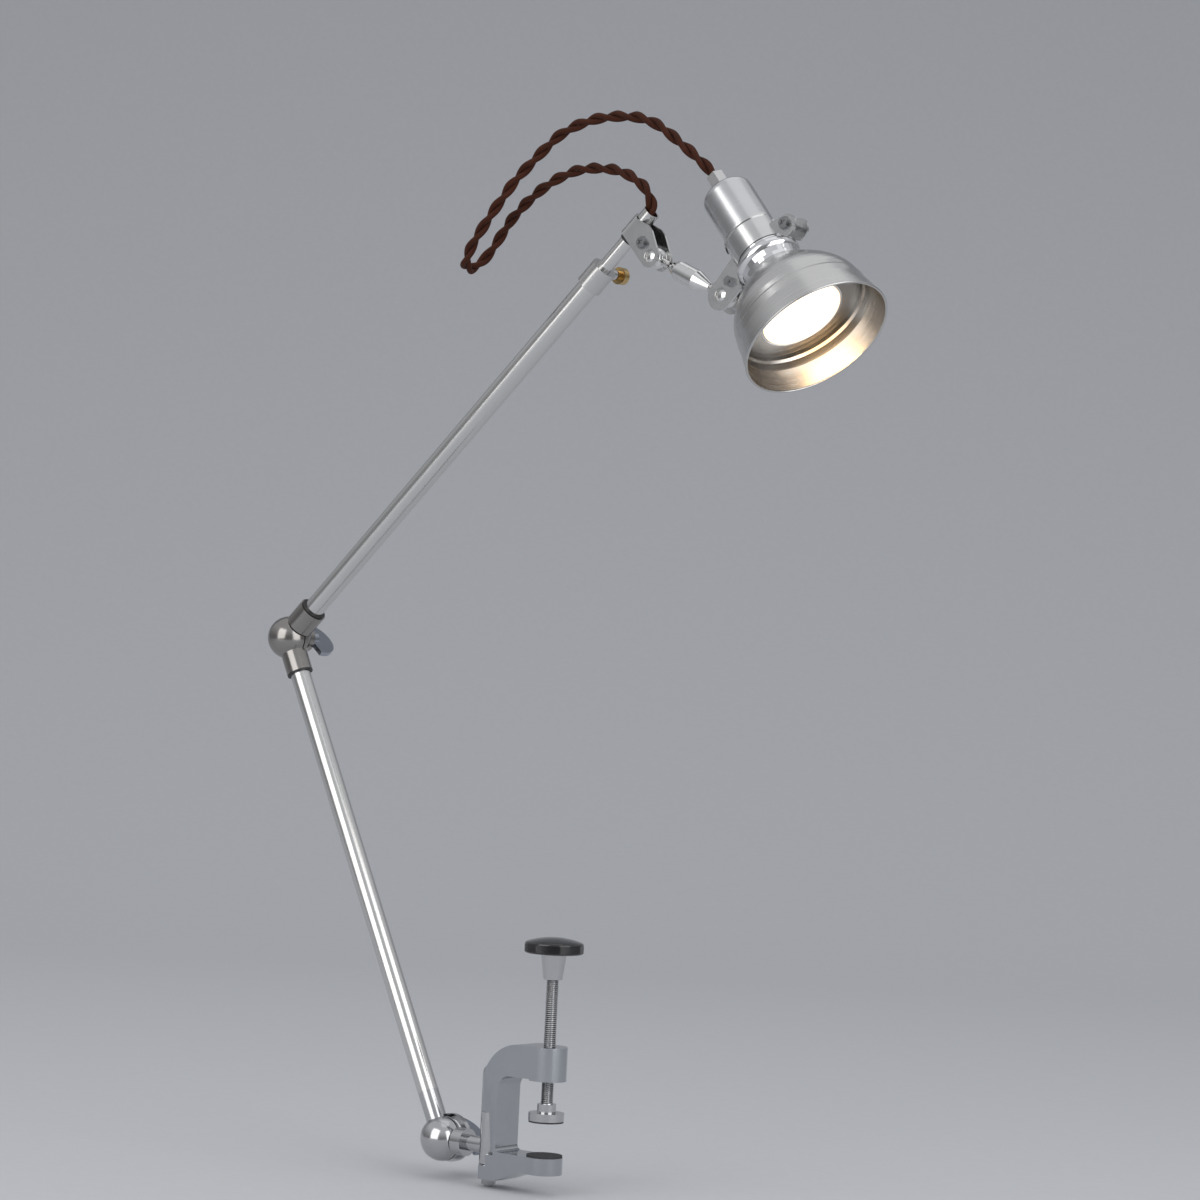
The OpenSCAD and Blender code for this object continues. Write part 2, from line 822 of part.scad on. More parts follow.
module socket_cup() {
    outer = cup_r;
    inner = cup_r - cup_wall;
    color("gainsboro") on_head() difference() {
        union() {
            translate([0, 0, cup_top + cup_round]) cylinder(r = outer, h = cup_len - cup_round);
            rotate_extrude() translate([outer - cup_round, cup_top + cup_round]) intersection() {
                circle(r = cup_round);
                translate([0, -cup_round]) square(cup_round);
            }
            translate([0, 0, cup_top]) cylinder(r = outer - cup_round, h = cup_round);
        }
        translate([0, 0, cup_top + cup_round]) cylinder(r = inner, h = cup_len);
        translate([0, 0, cup_top + cup_wall]) cylinder(r = outer - cup_round, h = cup_round);
        rotate_extrude() translate([outer - cup_round, cup_top + cup_round]) intersection() {
            circle(r = cup_round - cup_wall);
            translate([-over, -cup_round]) square([cup_round + over, cup_round + over]);
        }
        translate([0, 0, cup_top - over]) cylinder(d = gland_d - 2 + 2 * fit, h = 3 * over);
    }
}

module cord_gland() {
    color("gainsboro") on_head() difference() {
        union() {
            translate([0, 0, cup_top - gland_out]) hexagon(gland_d + 1, gland_out - 1.5);
            translate([0, 0, cup_top - 2]) cylinder(d = gland_d, h = 2);
            translate([0, 0, cup_top - over]) cylinder(d = gland_d - 2, h = gland_in + over);
            translate([0, 0, cup_top + cup_wall]) cylinder(d = gland_d + 2, h = gland_in - cup_wall - 1);
        }
        translate([0, 0, cup_top - gland_out - over]) cylinder(d = cord_d + 0.6, h = 2 * gland_out + 2 * over);
    }
}

module lampholder() {
    bore_r = cap_r + shell_t + 0.4;
    color("whitesmoke") on_head() difference() {
        translate([0, 0, holder_top]) cylinder(r = holder_r, h = holder_low - holder_top);
        translate([0, 0, cap_tip - 2]) cylinder(r = bore_r, h = holder_low - cap_tip + 3);
    }
}

module lampholder_shell() {
    color("goldenrod") on_head() translate([0, 0, cap_tip + 2.5])
        pipe(2 * (cap_r + shell_t + 0.3), 2 * (cap_r + 0.3), holder_low - cap_tip - 4);
}

module gallery_ring() {
    wall = 1.4;
    color("silver") on_head() difference() {
        union() {
            rotate_extrude() translate([bead_at, bead_z]) circle(r = bead_r);
            translate([0, 0, ring_low]) cylinder(r = bead_at + 1, h = neck_z - ring_low);
            translate([0, 0, bead_z]) cylinder(r1 = bead_at + 3.4, r2 = neck_out - 0.6, h = 9);
            translate([0, 0, 14]) cylinder(r = neck_out, h = neck_z - 14);
        }
        translate([0, 0, ring_low - over]) cylinder(r = bead_at - wall, h = neck_z - ring_low + 2 * over);
    }
}

function bell_r_at(u) = neck_out + (bell_r - neck_out) * sin(90 * u);

// Outer line of the shade, from the neck to the rim, with the bell as part of a sine curve
function shade_line(inset) = concat(
    [for (i = [0:12]) [bell_r_at(i / 12) - inset, shade_top + (bell_end - shade_top) * i / 12]],
    [
        [bell_r + step_out - inset, bell_end + 2], [bell_r + step_out + 0.6 - inset, bell_end + 8],
        [rim_r - 1.6 - inset, shade_len - 8], [rim_r - inset, shade_len]
    ]
);

module shade() {
    outer = shade_line(0);
    inner = shade_line(shade_wall);
    last = len(inner) - 1;
    color("silver") on_head() {
        rotate_extrude($fn = 96) polygon(concat(
            outer, [for (i = [last:-1:1]) inner[i]],
            [[neck_out - 4, shade_top + shade_wall], [neck_out - 4, shade_top]]
        ));
        rotate_extrude($fn = 96) translate([rim_r - shade_wall / 2, shade_len - 0.2])
            circle(r = rim_roll, $fn = 24);
    }
}

module bulb_cap() {
    color("silver") on_head() {
        translate([0, 0, cap_tip + 3]) cylinder(r = cap_r, h = cap_len - 3);
        translate([0, 0, cap_tip]) cylinder(r1 = 5, r2 = cap_r - 2, h = 3);
    }
}

function bulb_line(inset) = [
    [cap_r + 1 - inset, cap_tip + cap_len + 12], [cap_r + 2.8 - inset, 12], [cap_r + 6.3 - inset, 22],
    [bulb_r * 0.86 - inset, 36], [bulb_r * 0.97 - inset, 45], [bulb_r - inset, 51],
    [bulb_r - inset, bulb_face - 4]
];

module bulb_reflector() {
    from = cap_tip + cap_len;
    inner = bulb_line(glass_t);
    last = len(inner) - 1;
    color("lightgray") on_head() rotate_extrude() polygon(concat(
        [[0, from], [cap_r - 0.4, from]], bulb_line(0),
        [for (i = [last:-1:0]) inner[i]], [[0, from + 2 * glass_t]]
    ));
}

function face_z(r) = bulb_face - face_rise * pow(r / face_r, 2);

module bulb_face() {
    steps = 6;
    color("white") on_head() rotate_extrude() polygon(concat(
        [for (i = [0:steps]) [face_r * i / steps, face_z(face_r * i / steps)]],
        [for (i = [steps:-1:0]) [(face_r - glass_t) * i / steps, face_z(face_r * i / steps) - glass_t]]
    ));
}

// ---- cord ----

function unit(v) = v / norm(v);
function tangent(i) = unit(CORD[min(i + 1, len(CORD) - 1)] - CORD[max(i - 1, 0)]);
function carry(v, t) = unit(v - (v * t) * t);

NORMALS = [
    for (i = 0, v = carry([0, 1, 0], tangent(0)); i < len(CORD);
        i = i + 1, v = carry(v, tangent(min(i, len(CORD) - 1)))) v
];

function ring(i) = [
    for (k = [0:cord_sides - 1])
        let (a = 360 * k / cord_sides)
        CORD[i] + cord_d / 2 * (cos(a) * NORMALS[i] + sin(a) * cross(tangent(i), NORMALS[i]))
];

module cord_stretch(first, last) {
    rings = last - first;
    points = [for (i = [first:last]) each ring(i)];
    sides = [
        for (i = [0:rings - 1], k = [0:cord_sides - 1])
            let (n = (k + 1) % cord_sides, a = i * cord_sides, b = a + cord_sides)
            [a + k, b + k, b + n, a + n]
    ];
    start = [for (k = [0:cord_sides - 1]) k];
    end = [for (k = [cord_sides - 1:-1:0]) rings * cord_sides + k];
    polyhedron(points, concat(sides, [start, end]));
}

module cord_arm_stretch() {
    color("saddlebrown") cord_stretch(0, cord_cut_a);
}

module cord_loop_stretch() {
    color("saddlebrown") cord_stretch(cord_cut_a, cord_cut_b);
}

module cord_head_stretch() {
    color("saddlebrown") cord_stretch(cord_cut_b, len(CORD) - 1);
}

clamp_frame();
jaw_pad();
clamp_screw();
knob_hub();
clamp_knob();
pressure_pad();
pressure_pad_liner();
swivel_pin();
swivel_pin_nut();
base_knuckle_swivel_half();
base_friction_disc();
base_knuckle_arm_half();
base_stud();
base_washer();
base_thumb_nut();
lower_tube();
elbow_lower_half();
elbow_friction_disc();
elbow_stud();
elbow_washer();
elbow_thumb_nut();
lower_mouth_liner();
elbow_upper_half();
upper_mouth_liner();
upper_tube();
slide_collar();
extension_thumb_screw();
extension_tube();
slide_bush();
extension_ferrule();
strap_bush();
strap_clevis();
strap_screw();
strap_screw_nut();
link_lower_ball_stud();
link_barrel();
link_upper_ball_stud();
head_band_near_half();
head_band_far_half();
head_band_screws();
head_band_nuts();
socket_cup();
cord_gland();
lampholder();
lampholder_shell();
gallery_ring();
shade();
bulb_cap();
bulb_reflector();
bulb_face();
cord_arm_stretch();
cord_loop_stretch();
cord_head_stretch();
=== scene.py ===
"""Clamp-on reading lamp, in metres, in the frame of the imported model."""
import json
import math

import bmesh
import bpy
from mathutils import Matrix, Vector


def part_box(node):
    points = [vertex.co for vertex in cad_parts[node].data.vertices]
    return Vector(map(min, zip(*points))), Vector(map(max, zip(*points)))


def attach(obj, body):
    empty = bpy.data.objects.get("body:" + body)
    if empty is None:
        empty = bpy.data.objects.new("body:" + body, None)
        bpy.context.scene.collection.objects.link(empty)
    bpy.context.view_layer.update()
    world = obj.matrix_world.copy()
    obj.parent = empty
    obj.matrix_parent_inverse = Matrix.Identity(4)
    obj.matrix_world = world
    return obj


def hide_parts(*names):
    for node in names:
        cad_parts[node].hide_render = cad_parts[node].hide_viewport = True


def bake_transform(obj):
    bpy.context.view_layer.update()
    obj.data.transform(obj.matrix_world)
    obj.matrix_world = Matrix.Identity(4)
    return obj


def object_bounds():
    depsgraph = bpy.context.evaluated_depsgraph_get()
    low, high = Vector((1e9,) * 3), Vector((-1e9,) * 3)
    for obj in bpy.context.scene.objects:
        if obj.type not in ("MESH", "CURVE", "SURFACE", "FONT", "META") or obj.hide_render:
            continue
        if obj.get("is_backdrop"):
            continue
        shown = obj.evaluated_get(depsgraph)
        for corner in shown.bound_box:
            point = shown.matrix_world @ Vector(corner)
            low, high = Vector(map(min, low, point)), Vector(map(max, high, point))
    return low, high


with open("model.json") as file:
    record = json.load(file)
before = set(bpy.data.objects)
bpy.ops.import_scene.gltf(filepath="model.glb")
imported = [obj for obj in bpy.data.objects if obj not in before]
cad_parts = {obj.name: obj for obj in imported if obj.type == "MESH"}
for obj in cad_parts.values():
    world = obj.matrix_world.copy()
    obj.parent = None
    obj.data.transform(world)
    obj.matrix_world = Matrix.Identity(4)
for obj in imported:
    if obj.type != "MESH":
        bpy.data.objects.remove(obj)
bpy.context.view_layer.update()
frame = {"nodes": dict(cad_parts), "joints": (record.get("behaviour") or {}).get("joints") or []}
NODES = frame["nodes"]
JOINTS = {joint["name"]: joint for joint in frame["joints"]}

# ---- camera ----

EYE = Vector((1.4525, -1.8284, 0.3350))
RIGHT = Vector((0.78879, 0.61285, 0.04724))
UP = Vector((-0.01737, -0.05460, 0.99836))
BACK = Vector((0.61442, -0.78831, -0.03243))

camera_data = bpy.data.cameras.new("camera")
camera_data.lens = 94.5
camera_data.sensor_width = 36.0
camera_data.clip_end = 50.0
camera = bpy.data.objects.new("camera", camera_data)
bpy.context.scene.collection.objects.link(camera)
turn = Matrix((RIGHT, UP, BACK)).transposed().to_4x4()
camera.matrix_world = Matrix.Translation(EYE) @ turn
bpy.context.scene.camera = camera

# ---- places on the lamp ----


def axis_turn(z_axis, x_hint=(0.0, 1.0, 0.0)):
    """The turn whose Z is z_axis, as a matrix."""
    z = Vector(z_axis).normalized()
    x = Vector(x_hint)
    x = (x - x.dot(z) * z).normalized()
    return Matrix((x, z.cross(x), z)).transposed()


def centre(node):
    low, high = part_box(node)
    return (Vector(low) + Vector(high)) / 2


UPPER = Vector(JOINTS["extension_slide"]["axis"]).normalized()
ELBOW = Vector(JOINTS["elbow_tilt"]["pos_m"])
BASE = Vector(JOINTS["base_tilt"]["pos_m"])
LOWER = (ELBOW - BASE).normalized()
BALL_1 = Vector(JOINTS["link_swing"]["pos_m"])
BALL_2 = Vector(JOINTS["head_tilt"]["pos_m"])
LINK = (BALL_2 - BALL_1).normalized()
HEAD_FOOT = Vector((0.1699646, -0.0110441, 0.6558249))
RIM = Vector((0.2225003, -0.0194733, 0.5951501))
HEAD = (RIM - HEAD_FOOT).normalized()
FACE_RADIUS = 0.0312

# ---- materials ----


class Tree:
    """A material's node tree with short ways to add to it."""

    def __init__(self, name):
        self.material = bpy.data.materials.new(name)
        self.material.use_nodes = True
        self.tree = self.material.node_tree
        self.shader = self.tree.nodes["Principled BSDF"]

    def add(self, kind, **settings):
        node = self.tree.nodes.new("ShaderNode" + kind)
        for key, value in settings.items():
            setattr(node, key, value)
        return node

    def wire(self, start, end):
        self.tree.links.new(start, end)

    def math(self, operation, first, second=None):
        node = self.add("Math", operation=operation)
        for i, value in enumerate((first, second)):
            if value is None:
                continue
            if isinstance(value, (int, float)):
                node.inputs[i].default_value = value
            else:
                self.wire(value, node.inputs[i])
        return node.outputs[0]

    def local(self, origin=(0, 0, 0), turn=None, scale=(1, 1, 1)):
        """Coordinates in a piece's own frame, each divided by its scale."""
        coordinates = self.add("TexCoord")
        mapping = self.add("Mapping", vector_type="TEXTURE")
        mapping.inputs["Location"].default_value = origin
        if turn is not None:
            mapping.inputs["Rotation"].default_value = turn.to_euler()
        mapping.inputs["Scale"].default_value = scale
        self.wire(coordinates.outputs["Object"], mapping.inputs["Vector"])
        return mapping.outputs["Vector"]

    def about_axis(self, origin=(0, 0, 0), turn=None):
        """The distance from an axis, one coordinate across it and the one along it."""
        split = self.add("SeparateXYZ")
        self.wire(self.local(origin, turn), split.inputs[0])
        x, y, z = split.outputs
        squares = self.math("ADD", self.math("MULTIPLY", x, x), self.math("MULTIPLY", y, y))
        return self.math("SQRT", squares), x, z

    def rings(self, origin, turn, along, around):
        """Coordinates that are the same all the way round an axis: (radius, a little angle, height)."""
        radius, x, z = self.about_axis(origin, turn)
        join = self.add("CombineXYZ")
        self.wire(self.math("MULTIPLY", radius, along), join.inputs[0])
        self.wire(self.math("MULTIPLY", x, around), join.inputs[1])
        self.wire(self.math("MULTIPLY", z, along), join.inputs[2])
        return join.outputs[0]

    def noise(self, vector, scale, detail=3.0, rough=0.55):
        node = self.add("TexNoise")
        node.inputs["Scale"].default_value = scale
        node.inputs["Detail"].default_value = detail
        node.inputs["Roughness"].default_value = rough
        self.wire(vector, node.inputs["Vector"])
        return node.outputs["Fac"]

    def spread(self, value, low, high, start=0.3, end=0.7):
        node = self.add("MapRange")
        node.inputs["From Min"].default_value = start
        node.inputs["From Max"].default_value = end
        node.inputs["To Min"].default_value = low
        node.inputs["To Max"].default_value = high
        self.wire(value, node.inputs["Value"])
        return node.outputs["Result"]

    def ramp(self, value, *stops):
        node = self.add("ValToRGB")
        points = node.color_ramp.elements
        while len(points) < len(stops):
            points.new(0.5)
        for point, (place, color) in zip(points, stops):
            point.position = place
            point.color = (*color, 1.0)
        self.wire(value, node.inputs["Fac"])
        return node.outputs["Color"]

    def bump(self, value, strength, distance=0.0002, under=None):
        node = self.add("Bump")
        node.inputs["Strength"].default_value = strength
        node.inputs["Distance"].default_value = distance
        self.wire(value, node.inputs["Height"])
        if under is not None:
            self.wire(under, node.inputs["Normal"])
        return node.outputs["Normal"]

    def set(self, name, value):
        if isinstance(value, (int, float, tuple)):
            if isinstance(value, tuple) and len(value) == 3:
                value = (*value, 1.0)
            self.shader.inputs[name].default_value = value
        else:
            self.wire(value, self.shader.inputs[name])


def shade_of(color, factor):
    return tuple(min(1.0, c * factor) for c in color)


def metal(name, color, rough, grain=None, vary=0.05, tint=0.06, bump=0.06, smudge=45.0):
    """A metal with fine grain along the vector grain(tree) gives, and soft smudges over it."""
    t = Tree(name)
    plain = t.local()
    fine = t.noise(grain(t) if grain else t.local(scale=(0.001, 0.001, 0.001)), 1.0, 4.0)
    soft = t.noise(plain, smudge, 3.0)
    both = t.math("ADD", t.math("MULTIPLY", fine, 0.6), t.math("MULTIPLY", soft, 0.4))
    t.set("Base Color", t.ramp(both, (0.30, shade_of(color, 1 - tint)), (0.70, shade_of(color, 1 + tint))))
    t.set("Metallic", 1.0)
    t.set("Roughness", t.spread(both, rough - vary, rough + vary))
    t.set("Normal", t.bump(fine, bump, 0.00005))
    return t.material


def along(direction, length=0.05, width=0.00025):
    """Grain drawn out along a direction."""
    return lambda t: t.local(turn=axis_turn(direction), scale=(width, width, length))


def turned(origin, direction, pitch=2200.0, wander=6.0):
    """Fine lathe lines about an axis."""
    return lambda t: t.rings(origin, axis_turn(direction), pitch, wander)


def plastic(name, color, rough, bump=0.08, scale=900.0, tint=0.15, vary=0.05, coat=0.0):
    t = Tree(name)
    fine = t.noise(t.local(), scale, 4.0)
    soft = t.noise(t.local(), 60.0, 3.0)
    t.set("Base Color", t.ramp(soft, (0.3, shade_of(color, 1 - tint)), (0.7, shade_of(color, 1 + tint))))
    t.set("Roughness", t.spread(fine, max(0.03, rough - vary), rough + vary))
    t.set("Normal", t.bump(fine, bump, 0.00008))
    t.set("Coat Weight", coat)
    t.set("Coat Roughness", 0.05)
    return t.material


Z = Vector((0, 0, 1))
Y = Vector((0, 1, 0))
NICKEL = (0.68, 0.675, 0.665)


def cast(name, color, rough, size, **settings):
    """A polished casting with a slight unevenness of the given size."""
    return metal(name, color, rough, lambda t: t.local(scale=(size, size, size)), **settings)


def spun(name, color, rough, pitch=2200.0, wander=6.0, **settings):
    """A metal turned or spun about the head's axis."""
    return metal(name, color, rough, turned(HEAD_FOOT, HEAD, pitch, wander), **settings)


THUMB = centre("extension_thumb_screw")
ORIGIN = (0, 0, 0)

MATERIALS = {
    "lower_nickel": metal("lower_nickel", NICKEL, 0.20, along(LOWER), vary=0.02, tint=0.02, bump=0.04),
    "upper_nickel": metal("upper_nickel", NICKEL, 0.20, along(UPPER), vary=0.02, tint=0.02, bump=0.04),
    "collar_nickel": metal("collar_nickel", (0.62, 0.615, 0.61), 0.22, turned(ELBOW, UPPER)),
    "gunmetal": metal("gunmetal", (0.33, 0.315, 0.30), 0.20, turned(ELBOW, Y), vary=0.04, tint=0.08),
    "base_chrome": metal("base_chrome", (0.55, 0.55, 0.56), 0.16, turned(BASE, Y), vary=0.05, tint=0.08),
    "cast": cast("cast", (0.46, 0.475, 0.50), 0.15, 0.0008, vary=0.04, tint=0.07, bump=0.12, smudge=60.0),
    "nut_cast": cast("nut_cast", (0.40, 0.43, 0.48), 0.20, 0.0006, vary=0.06, tint=0.10, bump=0.18),
    "hub_chrome": metal(
        "hub_chrome", (0.56, 0.56, 0.57), 0.16, turned(ORIGIN, Z), vary=0.04, tint=0.06, bump=0.05
    ),
    "steel": metal("steel", (0.42, 0.42, 0.43), 0.20, vary=0.05, tint=0.08),
    "strap": metal(
        "strap", (0.68, 0.68, 0.675), 0.21, along(LINK, 0.012, 0.0002),
        vary=0.05, tint=0.05, bump=0.08, smudge=90.0,
    ),
    "link": metal(
        "link", (0.78, 0.775, 0.765), 0.09, turned(BALL_1, LINK, 1800.0), vary=0.03, tint=0.05, bump=0.05
    ),
    "brass": metal("brass", (0.62, 0.44, 0.20), 0.22, turned(THUMB, Y), vary=0.07, tint=0.12),
    "cup": spun("cup", (0.66, 0.66, 0.67), 0.25, 2600.0, 10.0, vary=0.04, tint=0.04, bump=0.12),
    "gallery": spun("gallery", (0.82, 0.82, 0.83), 0.06, 1200.0, vary=0.02, tint=0.03, bump=0.03),
    "shade": spun("shade", (0.60, 0.595, 0.585), 0.25, 2400.0, 14.0, vary=0.04, tint=0.04, bump=0.12),
    "shell_brass": spun("shell_brass", (0.70, 0.52, 0.25), 0.25, vary=0.06, tint=0.10),
    "bulb_silver": spun("bulb_silver", (0.86, 0.85, 0.83), 0.12, 500.0, vary=0.03),
    "black": plastic(
        "black", (0.018, 0.018, 0.020), 0.16, bump=0.04, scale=1200.0, tint=0.2, vary=0.05, coat=0.4
    ),
    "rubber": plastic("rubber", (0.030, 0.030, 0.032), 0.62, bump=0.30, scale=1500.0, tint=0.2),
    "fibre": plastic("fibre", (0.020, 0.020, 0.020), 0.50, bump=0.25, scale=1800.0, tint=0.25),
    "nylon": plastic("nylon", (0.72, 0.71, 0.67), 0.42, bump=0.12, scale=900.0, tint=0.04),
    "porcelain": plastic(
        "porcelain", (0.78, 0.77, 0.73), 0.14, bump=0.04, scale=500.0, tint=0.03, vary=0.04, coat=0.6
    ),
}


def bulb_glass(name, color, edge_color, strength, rough):
    """Frosted glass that glows evenly and turns warmer at its edge."""
    t = Tree(name)
    radius, _, _ = t.about_axis(HEAD_FOOT, axis_turn(HEAD))
    place = t.spread(radius, 0.0, 1.0, 0.0, FACE_RADIUS)
    t.set("Base Color", (0.92, 0.90, 0.86))
    t.set("Roughness", t.spread(t.noise(t.local(), 700.0), rough - 0.05, rough + 0.05))
    t.set("Emission Color", t.ramp(place, (0.0, color), (0.88, color), (1.0, edge_color)))
    t.set("Emission Strength", strength)
    return t.material


def thread_steel():
    """Bright crests over painted shade in the thread roots."""
    t = Tree("screw_steel")
    radius, _, _ = t.about_axis()
    uneven_radius = t.math("ADD", radius, t.math("MULTIPLY", t.noise(t.local(), 400.0), 0.00015))
    # The base colour runs to near black in the thread roots: painted shade, not oil.
    depth = t.spread(uneven_radius, 0.0, 1.0, 0.00405, 0.0048)
    t.set("Base Color", t.ramp(depth, (0.0, (0.05, 0.05, 0.05)), (1.0, (0.72, 0.72, 0.73))))
    t.set("Metallic", 1.0)
    t.set("Roughness", t.spread(t.noise(t.local(), 900.0), 0.18, 0.30))
    return t.material


MATERIALS["screw_steel"] = thread_steel()
MATERIALS["bulb_face"] = bulb_glass(
    "bulb_face", (1.0, 0.955, 0.87), (1.0, 0.52, 0.14), strength=0.92, rough=0.30
)

COAT = {
    "clamp_frame": "cast", "jaw_pad": "rubber", "knob_hub": "hub_chrome", "pressure_pad": "hub_chrome",
    "pressure_pad_liner": "rubber", "swivel_pin": "steel", "swivel_pin_nut": "steel",
    "base_knuckle_swivel_half": "base_chrome", "base_friction_disc": "fibre",
    "base_knuckle_arm_half": "base_chrome", "base_stud": "steel", "base_washer": "steel",
    "base_thumb_nut": "nut_cast", "lower_tube": "lower_nickel", "elbow_lower_half": "gunmetal",
    "elbow_friction_disc": "fibre", "elbow_stud": "steel", "elbow_washer": "steel",
    "elbow_thumb_nut": "nut_cast", "lower_mouth_liner": "fibre", "elbow_upper_half": "gunmetal",
    "upper_mouth_liner": "fibre", "upper_tube": "upper_nickel", "slide_collar": "collar_nickel",
    "extension_thumb_screw": "brass", "extension_tube": "upper_nickel", "slide_bush": "nylon",
    "extension_ferrule": "collar_nickel", "strap_bush": "fibre", "strap_clevis": "strap",
    "strap_screw": "steel", "strap_screw_nut": "steel", "link_lower_ball_stud": "link",
    "link_barrel": "link", "link_upper_ball_stud": "link", "head_band_near_half": "strap",
    "head_band_far_half": "strap", "head_band_screws": "steel", "head_band_nuts": "steel",
    "socket_cup": "cup", "cord_gland": "collar_nickel", "lampholder": "porcelain",
    "lampholder_shell": "shell_brass", "gallery_ring": "gallery", "shade": "shade",
    "bulb_cap": "shell_brass", "bulb_reflector": "bulb_silver", "bulb_face": "bulb_face",
}


def coat(piece, material):
    """Put one material in every slot of a piece."""
    data = piece.data
    if not data.materials:
        data.materials.append(material)
    for i in range(len(data.materials)):
        data.materials[i] = material


for node, name in COAT.items():
    coat(NODES[node], MATERIALS[name])

# ---- pieces made here ----


def piece_from(name, points, faces, material, sharp=35.0):
    """A smooth-shaded piece, with edges kept sharp above an angle in degrees."""
    mesh = bpy.data.meshes.new(name)
    mesh.from_pydata([tuple(p) for p in points], [], faces)
    mesh.update()
    tidy = bmesh.new()
    tidy.from_mesh(mesh)
    bmesh.ops.recalc_face_normals(tidy, faces=tidy.faces)
    tidy.to_mesh(mesh)
    tidy.free()
    mesh.materials.append(material)
    mesh.shade_smooth()
    mesh.set_sharp_from_angle(angle=math.radians(sharp))
    piece = bpy.data.objects.new(name, mesh)
    bpy.context.scene.collection.objects.link(piece)
    return piece


def revolve(profile, sides, ripple=None):
    """Points and faces of a profile of (radius, height) turned about Z, closed at both ends on the axis."""
    points = []
    faces = []
    for i, (radius, height) in enumerate(profile):
        for k in range(sides):
            a = math.tau * k / sides
            r = radius + (ripple(i, k) if ripple else 0.0)
            points.append((r * math.cos(a), r * math.sin(a), height))
    rows = len(profile)
    for i in range(rows - 1):
        for k in range(sides):
            n = (k + 1) % sides
            faces.append((i * sides + k, i * sides + n, (i + 1) * sides + n, (i + 1) * sides + k))
    faces.append(tuple(range(sides - 1, -1, -1)))
    faces.append(tuple((rows - 1) * sides + k for k in range(sides)))
    return points, faces


def clamp_screw():
    """The screw with its real 1.5 mm thread, as one helical surface above a plain tip."""
    low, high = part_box("clamp_screw")
    outer = (high[0] - low[0]) / 2
    tip = outer - 0.0006
    depth = 0.0008
    pitch = 0.0015
    run_out = 0.003
    chamfer = 0.001
    sides = 40
    steps = 4
    bottom = low[2] + 0.007
    top = high[2]
    rows = int((top - bottom) / (pitch / steps))
    points = []
    for i in range(rows + 1):
        for k in range(sides):
            a = math.tau * k / sides
            z = bottom + i * pitch / steps
            turn_at = (i / steps - k / sides) % 1.0
            cut = depth * abs(2 * turn_at - 1)
            fade = min(1.0, (top - z) / run_out, (z - bottom) / chamfer)
            r = outer - cut * max(0.0, fade)
            points.append((r * math.cos(a), r * math.sin(a), z))
    faces = [
        (i * sides + k, i * sides + (k + 1) % sides, (i + 1) * sides + (k + 1) % sides, (i + 1) * sides + k)
        for i in range(rows) for k in range(sides)
    ]
    start = len(points)
    for z in (low[2], bottom - chamfer):
        for k in range(sides):
            a = math.tau * k / sides
            points.append((tip * math.cos(a), tip * math.sin(a), z))
    for lower, upper in ((start, start + sides), (start + sides, 0)):
        faces += [
            (lower + k, lower + (k + 1) % sides, upper + (k + 1) % sides, upper + k) for k in range(sides)
        ]
    faces.append(tuple(start + k for k in reversed(range(sides))))
    faces.append(tuple(rows * sides + k for k in range(sides)))
    screw = piece_from("threaded_clamp_screw", points, faces, MATERIALS["screw_steel"], sharp=60.0)
    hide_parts("clamp_screw")
    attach(screw, "screw")


def clamp_knob():
    """The knob with a finely fluted rim under a smooth dome."""
    low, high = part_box("clamp_knob")
    r = (high[0] - low[0]) / 2
    z0 = low[2]
    top = high[2]
    rim = z0 + 0.0088
    edge = 0.0016
    bore = 0.004
    tip = 0.0002
    dome_steps = 14
    flutes = 150
    depth = 0.00028
    profile = [(bore, z0), (r - edge, z0), (r - 0.0006, z0 + 0.0003), (r, z0 + 0.0011)]
    first = len(profile) - 1
    profile += [(r, z0 + 0.0013), (r, rim - 0.0021), (r, rim - 0.0019)]
    last = len(profile) - 2
    profile += [(r - 0.0001, rim - 0.0013), (r - 0.0007, rim - 0.0005), (r - edge, rim - 0.0001)]
    for i in range(1, dome_steps + 1):
        u = i / dome_steps
        profile.append(((r - edge) * (1 - u) + tip * u, rim + (top - rim) * (1 - (1 - u) ** 2)))

    def ripple(i, k):
        return -depth if first < i <= last and k % 4 in (2, 3) else 0.0

    points, faces = revolve(profile, flutes * 4, ripple)
    knob = piece_from("fluted_knob", points, faces, MATERIALS["black"], sharp=28.0)
    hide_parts("clamp_knob")
    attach(knob, "screw")


# ---- twisted cord ----

CORD_D = 0.0086
CORD_MM = [
    (53, 0, 690), (57, 0, 695), (58, 0, 701), (56, 0, 707), (52, 0, 713), (45, 1, 719), (36, 2, 724),
    (24, 3, 729), (8, 4, 732), (-11, 5, 733), (-29, 6, 730), (-46, 7, 724), (-61, 8, 716), (-74, 10, 708),
    (-86, 12, 699), (-96, 14, 689), (-104, 14, 679), (-110, 12, 671), (-113, 7, 665), (-114, 0, 662),
    (-112, -7, 663), (-108, -12, 667), (-102, -15, 674), (-96, -16, 682), (-89, -15, 692), (-81, -14, 703),
    (-73, -13, 713), (-63, -13, 724), (-51, -12, 735), (-38, -11, 746), (-23, -10, 757), (-5, -9, 764),
    (14, -9, 767), (33, -8, 767), (52, -8, 764), (68, -7, 757), (82, -6, 747), (95, -5, 737),
    (106, -4, 728), (117, -2, 717),
]
CUTS = (0, 13, 26, len(CORD_MM) - 1)
CORD_PITCH = 0.038


